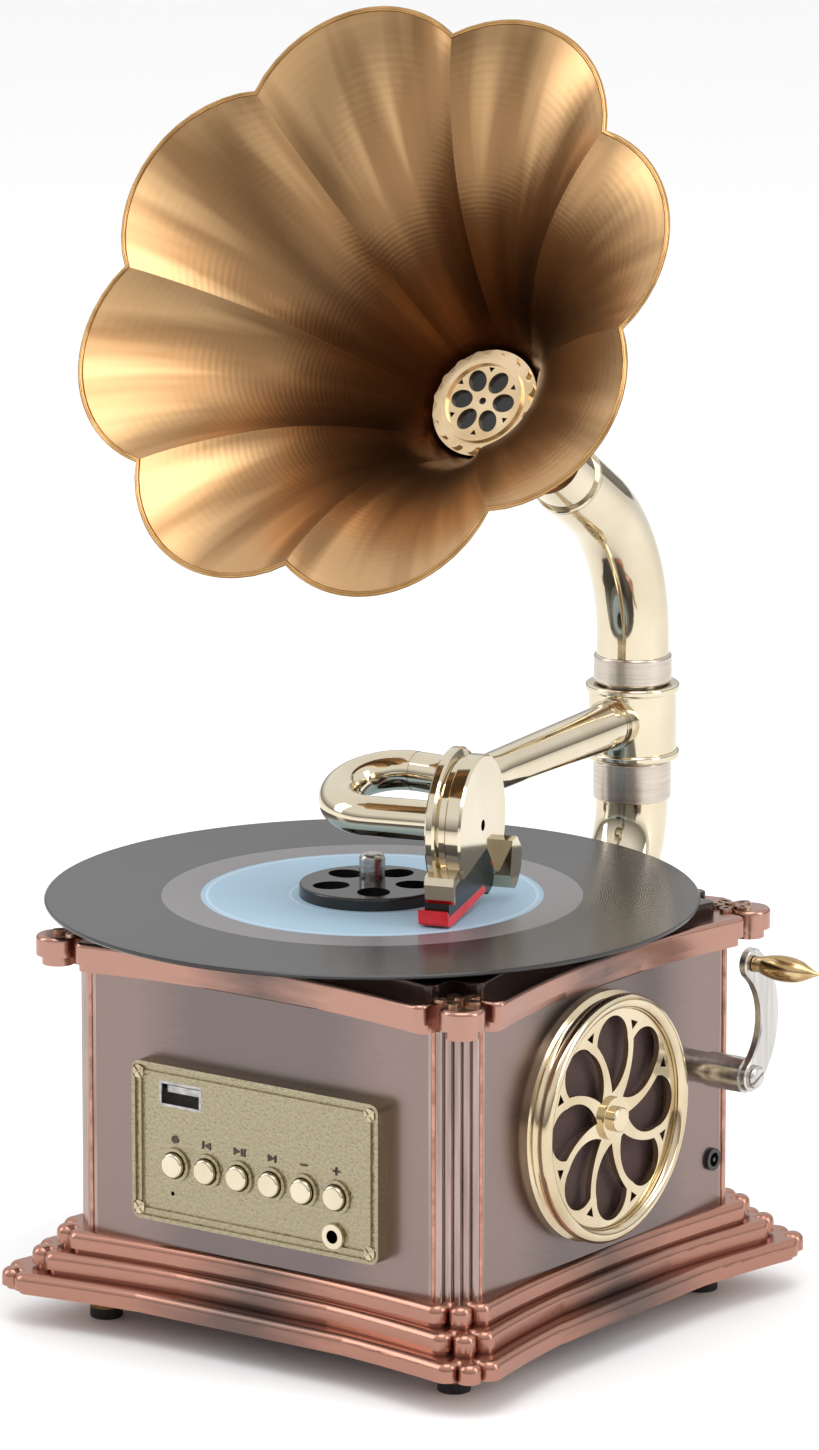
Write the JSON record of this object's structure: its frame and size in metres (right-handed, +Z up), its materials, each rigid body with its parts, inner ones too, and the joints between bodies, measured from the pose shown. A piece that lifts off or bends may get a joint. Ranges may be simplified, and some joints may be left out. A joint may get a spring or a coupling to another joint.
{
  "type": "record player",
  "caption": "Tabletop record player: square cabinet on a stepped plinth, small record, swivelling tonearm, hand crank and a lobed petal horn on a curved pipe.",
  "frame": {"origin": "on the table, below the middle of the square cabinet", "axes": "+Z up; the control panel faces -Y; the speaker and the crank face +X"},
  "size_m": [0.201, 0.212, 0.3503],
  "materials": {
    "antique_metal": "brushed antique bronze-grey",
    "copper_trim": "satin copper coat",
    "dark_lacquer": "gloss dark bronze",
    "champagne": "hammered champagne",
    "pale_gold": "polished pale gold",
    "nickel": "brushed nickel",
    "steel": "brushed",
    "horn_bronze": "antique bronze, satin",
    "throat_brass": "antique",
    "brass_handle": "polished",
    "record_vinyl": "grooved black vinyl",
    "label_paper": "pale blue paper",
    "black_plastic": "black",
    "red_plastic": "red",
    "rubber": "matte black",
    "cloth": "dark brown woven",
    "board": "green board",
    "chassis": "moulded dark grey"
  },
  "bodies": {
    "cabinet": {"plinth": "copper_trim", "foot_cups": "brass_handle", "foot_pads": "rubber", "bottom_plate": "chassis", "cabinet_shell": "antique_metal", "corner_columns": "copper_trim", "crown_moulding": "copper_trim", "corner_rosettes": "pale_gold", "top_deck": "dark_lacquer", "chassis_plate": "chassis", "platter_bearing": "steel", "motor": "steel", "drive_belt": "rubber", "control_panel": "champagne", "panel_screws": "pale_gold", "usb_socket": "steel", "audio_jack": "pale_gold", "circuit_board": "board", "speaker_bezel": "pale_gold", "speaker_cloth": "cloth", "speaker_grille": "pale_gold", "speaker_driver": "black_plastic", "power_inlet": "black_plastic", "crank_bearing": "steel", "lower_elbow": "pale_gold", "pivot_post": "steel", "lower_band": "nickel"},
    "turntable": {"platter": "chassis", "platter_mat": "rubber", "spindle": "steel", "record": "record_vinyl", "record_label": "label_paper", "adapter": "black_plastic"},
    "pulley": {"motor_pulley": "steel"},
    "tonearm": {"arm_collar": "pale_gold", "arm_tube": "pale_gold"},
    "head": {"gooseneck": "pale_gold", "soundbox": "pale_gold", "cartridge": "black_plastic", "stylus_guard": "red_plastic", "stylus": "steel"},
    "horn": {"upper_band": "nickel", "upper_elbow": "pale_gold", "horn_ferrule": "pale_gold", "horn_bell": "horn_bronze", "throat_ring": "throat_brass", "throat_grille": "throat_brass", "horn_driver": "black_plastic"},
    "crank": {"crank_shaft": "steel", "crank_arm": "steel", "crank_screw": "steel"},
    "handle": {"crank_handle": "brass_handle"},
    "button_mode": {"button_mode": "pale_gold"},
    "button_previous": {"button_previous": "pale_gold"},
    "button_play": {"button_play": "pale_gold"},
    "button_next": {"button_next": "pale_gold"},
    "button_quieter": {"button_quieter": "pale_gold"},
    "button_louder": {"button_louder": "pale_gold"}
  },
  "joints": [
    {"name": "record_spin", "type": "hinge", "parent": "cabinet", "child": "turntable", "pos_m": [-0.0073, -0.005, 0.1], "axis": [0, 0, 1], "continuous": true},
    {"name": "pulley_spin", "type": "hinge", "parent": "cabinet", "child": "pulley", "pos_m": [0.031, 0.02714, 0.1], "axis": [0, 0, 1], "continuous": true},
    {"name": "tonearm_swivel", "type": "hinge", "parent": "cabinet", "child": "tonearm", "pos_m": [0, 0.1065, 0.1425], "axis": [0, 0, 1], "range_deg": [-2, 30]},
    {"name": "head_lift", "type": "hinge", "parent": "tonearm", "child": "head", "pos_m": [-0.0048, 0.0125, 0.144], "axis": [-0.9996, -0.0287, 0], "range_deg": [0, 35]},
    {"name": "horn_swivel", "type": "hinge", "parent": "cabinet", "child": "horn", "pos_m": [0, 0.1065, 0.157], "axis": [0, 0, 1], "range_deg": [-35, 35]},
    {"name": "crank_turn", "type": "hinge", "parent": "cabinet", "child": "crank", "pos_m": [0.075, 0.0398, 0.0678], "axis": [1, 0, 0], "continuous": true},
    {"name": "handle_spin", "type": "hinge", "parent": "crank", "child": "handle", "pos_m": [0.095, 0.0398, 0.0988], "axis": [1, 0, 0], "continuous": true},
    {"name": "button_mode_press", "type": "slide", "parent": "cabinet", "child": "button_mode", "axis": [0, 1, 0], "range_m": [0, 0.001], "stiffness_N_per_m": 150},
    {"name": "button_previous_press", "type": "slide", "parent": "cabinet", "child": "button_previous", "axis": [0, 1, 0], "range_m": [0, 0.001], "stiffness_N_per_m": 150},
    {"name": "button_play_press", "type": "slide", "parent": "cabinet", "child": "button_play", "axis": [0, 1, 0], "range_m": [0, 0.001], "stiffness_N_per_m": 150},
    {"name": "button_next_press", "type": "slide", "parent": "cabinet", "child": "button_next", "axis": [0, 1, 0], "range_m": [0, 0.001], "stiffness_N_per_m": 150},
    {"name": "button_quieter_press", "type": "slide", "parent": "cabinet", "child": "button_quieter", "axis": [0, 1, 0], "range_m": [0, 0.001], "stiffness_N_per_m": 150},
    {"name": "button_louder_press", "type": "slide", "parent": "cabinet", "child": "button_louder", "axis": [0, 1, 0], "range_m": [0, 0.001], "stiffness_N_per_m": 150}
  ],
  "couplings": [
    {"joint": "pulley_spin", "follows": "record_spin", "ratio": 7.52}
  ]
}
